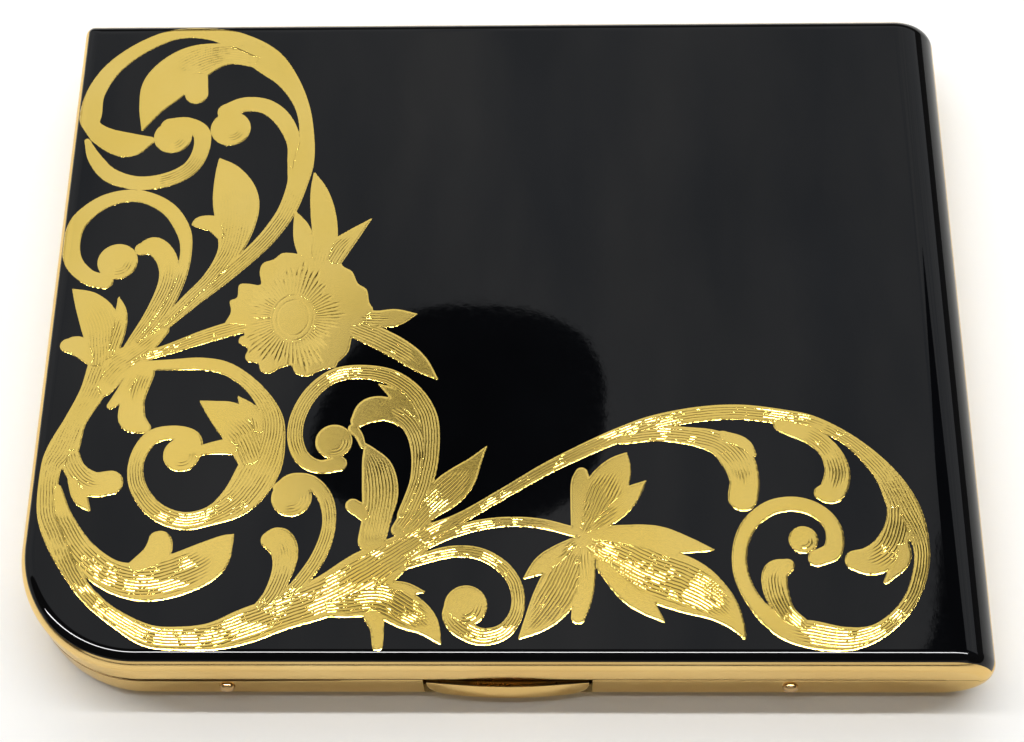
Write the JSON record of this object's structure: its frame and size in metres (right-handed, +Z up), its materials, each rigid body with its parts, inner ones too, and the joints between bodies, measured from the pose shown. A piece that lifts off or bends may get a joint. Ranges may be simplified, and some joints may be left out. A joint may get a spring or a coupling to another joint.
{
  "type": "powder compact",
  "caption": "Flat hinged powder compact with a black enamel lid, gilt engraved scrollwork, round spine, thumb catch, lid mirror and a powder well with inner door.",
  "frame": {"origin": "middle of the flat face that the closed case rests on, midway between its left side and spine and between its front and back walls", "axes": "+X to the right towards the round spine, +Y from the thumb catch to the hinge, +Z up out of the lid"},
  "size_m": [0.0888, 0.0718, 0.0095],
  "materials": {
    "gilt": "polished gilt, clear lacquered",
    "brass_plate": "satin",
    "enamel": "high gloss black enamel",
    "scrollwork": "polished gilt with bright engraved lines",
    "steel": "bright wire and strip",
    "mirror": "silvered glass",
    "card": "plain card",
    "powder": "matt loose powder",
    "gauze": "fine woven gauze",
    "puff": "short soft pile",
    "ribbon": "satin ribbon"
  },
  "bodies": {
    "base": {"base_shell": "gilt", "inner_rim": "brass_plate", "deck_plate": "brass_plate", "powder_well": "gilt", "loose_powder": "powder", "sifter_ring": "gilt", "sifter_gauze": "gauze", "powder_puff": "puff", "puff_ribbon": "ribbon", "door_lugs": "brass_plate", "door_pin": "steel", "catch_spring": "steel", "catch_rivets": "gilt", "base_hinge": "brass_plate", "hinge_pin": "steel"},
    "lid": {"lid_shell": "gilt", "lid_enamel": "enamel", "lid_scrollwork": "scrollwork", "lid_hinge": "brass_plate", "mirror_glass": "mirror", "mirror_backing": "card", "mirror_frame": "gilt", "lid_keeper": "brass_plate"},
    "inner_door": {"inner_door": "gilt", "door_knuckle": "brass_plate", "door_tab": "gilt"},
    "thumb_catch": {"thumb_catch": "gilt"}
  },
  "joints": [
    {"name": "lid_swing", "type": "hinge", "parent": "base", "child": "lid", "pos_m": [0, 0.03515, 0.005], "axis": [-1, 0, 0], "range_deg": [0, 115]},
    {"name": "door_swing", "type": "hinge", "parent": "base", "child": "inner_door", "pos_m": [-0.004, 0.025, 0.00535], "axis": [-1, 0, 0], "range_deg": [0, 92]},
    {"name": "catch_press", "type": "slide", "parent": "base", "child": "thumb_catch", "axis": [0, 1, 0], "range_m": [0, 0.0008], "stiffness_N_per_m": 800}
  ],
  "couplings": [
    {"joint": "door_swing", "follows": "lid_swing", "ratio": 0.8}
  ]
}
